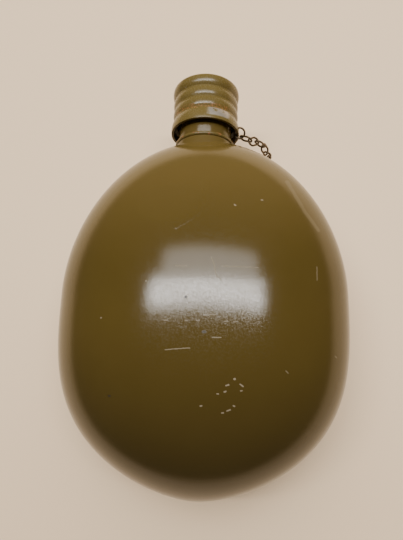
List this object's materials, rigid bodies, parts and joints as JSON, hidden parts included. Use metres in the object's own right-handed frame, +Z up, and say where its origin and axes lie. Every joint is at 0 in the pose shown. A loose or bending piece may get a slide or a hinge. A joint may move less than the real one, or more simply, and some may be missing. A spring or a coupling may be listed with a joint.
{
  "type": "canteen",
  "caption": "Flattened egg-shaped enamelled aluminium canteen with a ribbed screw cap held to the neck ring by a short steel link chain, lying on its back.",
  "frame": {"origin": "middle of the flat on the canteen's back, at its widest height", "axes": "+Z up from the surface it lies on, through the thickness; +Y along the neck's axis towards the cap; +X across it to the right"},
  "size_m": [0.132, 0.1944, 0.0744],
  "materials": {
    "body_enamel": "glossy olive-drab enamel",
    "cap_enamel": "glossy olive-drab enamel worn to bare aluminium at the edges",
    "gasket_rubber": "matt",
    "ring_steel": "enamelled over, rust spots",
    "chain_steel": "dull dark brown"
  },
  "bodies": {
    "bottle": {"canteen_shell": "body_enamel"},
    "ring": {"neck_ring": "ring_steel"},
    "cap": {"screw_cap": "cap_enamel", "cap_gasket": "gasket_rubber"},
    "cap_link": {"cap_link": "chain_steel"},
    "cap_chain_link_01": {"cap_chain_link_01": "chain_steel"},
    "cap_chain_link_02": {"cap_chain_link_02": "chain_steel"},
    "cap_chain_link_03": {"cap_chain_link_03": "chain_steel"},
    "cap_chain_link_04": {"cap_chain_link_04": "chain_steel"},
    "cap_chain_link_05": {"cap_chain_link_05": "chain_steel"},
    "cap_chain_link_06": {"cap_chain_link_06": "chain_steel"},
    "cap_chain_link_07": {"cap_chain_link_07": "chain_steel"},
    "ring_chain_link_01": {"ring_chain_link_01": "chain_steel"},
    "ring_chain_link_02": {"ring_chain_link_02": "chain_steel"},
    "ring_chain_link_03": {"ring_chain_link_03": "chain_steel"},
    "ring_chain_link_04": {"ring_chain_link_04": "chain_steel"},
    "ring_chain_link_05": {"ring_chain_link_05": "chain_steel"},
    "ring_chain_link_06": {"ring_chain_link_06": "chain_steel"}
  },
  "joints": [
    {"name": "cap_turn", "type": "hinge", "parent": "bottle", "child": "ring", "pos_m": [0, 0.0761, 0.0369], "axis": [0, 1, 0], "range_deg": [0, 1080]},
    {"name": "cap_lift", "type": "slide", "parent": "ring", "child": "cap", "axis": [0, 1, 0], "range_m": [0, 0.0105]},
    {"name": "cap_link_swing", "type": "hinge", "parent": "cap", "child": "cap_link", "pos_m": [0.01657, 0.08335, 0.0369], "axis": [0, 0.788, 0.6157], "range_deg": [-20, 6]},
    {"name": "cap_chain_link_01_swing", "type": "hinge", "parent": "cap_link", "child": "cap_chain_link_01", "pos_m": [0.019, 0.08174, 0.03564], "axis": [0.788, 0.4851, 0.379], "range_deg": [-20, 4]},
    {"name": "cap_chain_link_02_swing", "type": "hinge", "parent": "cap_chain_link_01", "child": "cap_chain_link_02", "pos_m": [0.02286, 0.07953, 0.03481], "axis": [0.6644, -0.4131, 0.6228], "range_deg": [-6, 20]},
    {"name": "cap_chain_link_03_swing", "type": "hinge", "parent": "cap_chain_link_02", "child": "cap_chain_link_03", "pos_m": [0.02686, 0.08139, 0.03106], "axis": [0.1663, -0.9859, 0.0174], "range_deg": [-20, 20]},
    {"name": "cap_chain_link_04_swing", "type": "hinge", "parent": "cap_chain_link_03", "child": "cap_chain_link_04", "pos_m": [0.02938, 0.08142, 0.02573], "axis": [0.8435, -0.3384, 0.417], "range_deg": [-10, 20]},
    {"name": "cap_chain_link_05_swing", "type": "hinge", "parent": "cap_chain_link_04", "child": "cap_chain_link_05", "pos_m": [0.03169, 0.08058, 0.02037], "axis": [-0.4062, -0.9127, -0.0445], "range_deg": [-20, 20]},
    {"name": "cap_chain_link_06_swing", "type": "hinge", "parent": "cap_chain_link_05", "child": "cap_chain_link_06", "pos_m": [0.032, 0.08073, 0.01448], "axis": [0.9046, -0.4239, 0.0448], "range_deg": [-12, 20]},
    {"name": "cap_chain_link_07_swing", "type": "hinge", "parent": "cap_chain_link_06", "child": "cap_chain_link_07", "pos_m": [0.03273, 0.0817, 0.0087], "axis": [-0.4075, -0.8908, -0.2009], "range_deg": [-20, 20]},
    {"name": "ring_chain_link_01_swing", "type": "hinge", "parent": "ring", "child": "ring_chain_link_01", "pos_m": [0.00756, 0.0761, 0.02068], "axis": [-0.9063, 0, -0.4226], "range_deg": [-20, 20]},
    {"name": "ring_chain_link_02_swing", "type": "hinge", "parent": "ring_chain_link_01", "child": "ring_chain_link_02", "pos_m": [0.00997, 0.0764, 0.01552], "axis": [0.0412, 0.9962, 0.0768], "range_deg": [-12, 20]},
    {"name": "ring_chain_link_03_swing", "type": "hinge", "parent": "ring_chain_link_02", "child": "ring_chain_link_03", "pos_m": [0.01199, 0.07674, 0.00998], "axis": [-0.9318, 0.1514, -0.3298], "range_deg": [-20, 20]},
    {"name": "ring_chain_link_04_swing", "type": "hinge", "parent": "ring_chain_link_03", "child": "ring_chain_link_04", "pos_m": [0.014, 0.07709, 0.00445], "axis": [0.2036, 0.9698, 0.1343], "range_deg": [-20, 20]},
    {"name": "ring_chain_link_05_swing", "type": "hinge", "parent": "ring_chain_link_04", "child": "ring_chain_link_05", "pos_m": [0.01941, 0.07626, 0.00224], "axis": [-0.2373, 0.5624, -0.7921], "range_deg": [-20, 20]},
    {"name": "ring_chain_link_06_swing", "type": "hinge", "parent": "ring_chain_link_05", "child": "ring_chain_link_06", "pos_m": [0.02498, 0.07818, 0.00194], "axis": [-0.2077, 0.708, 0.675], "range_deg": [-20, 20]}
  ],
  "couplings": [
    {"joint": "cap_lift", "follows": "cap_turn", "m_per_rad": 0.00055704}
  ]
}
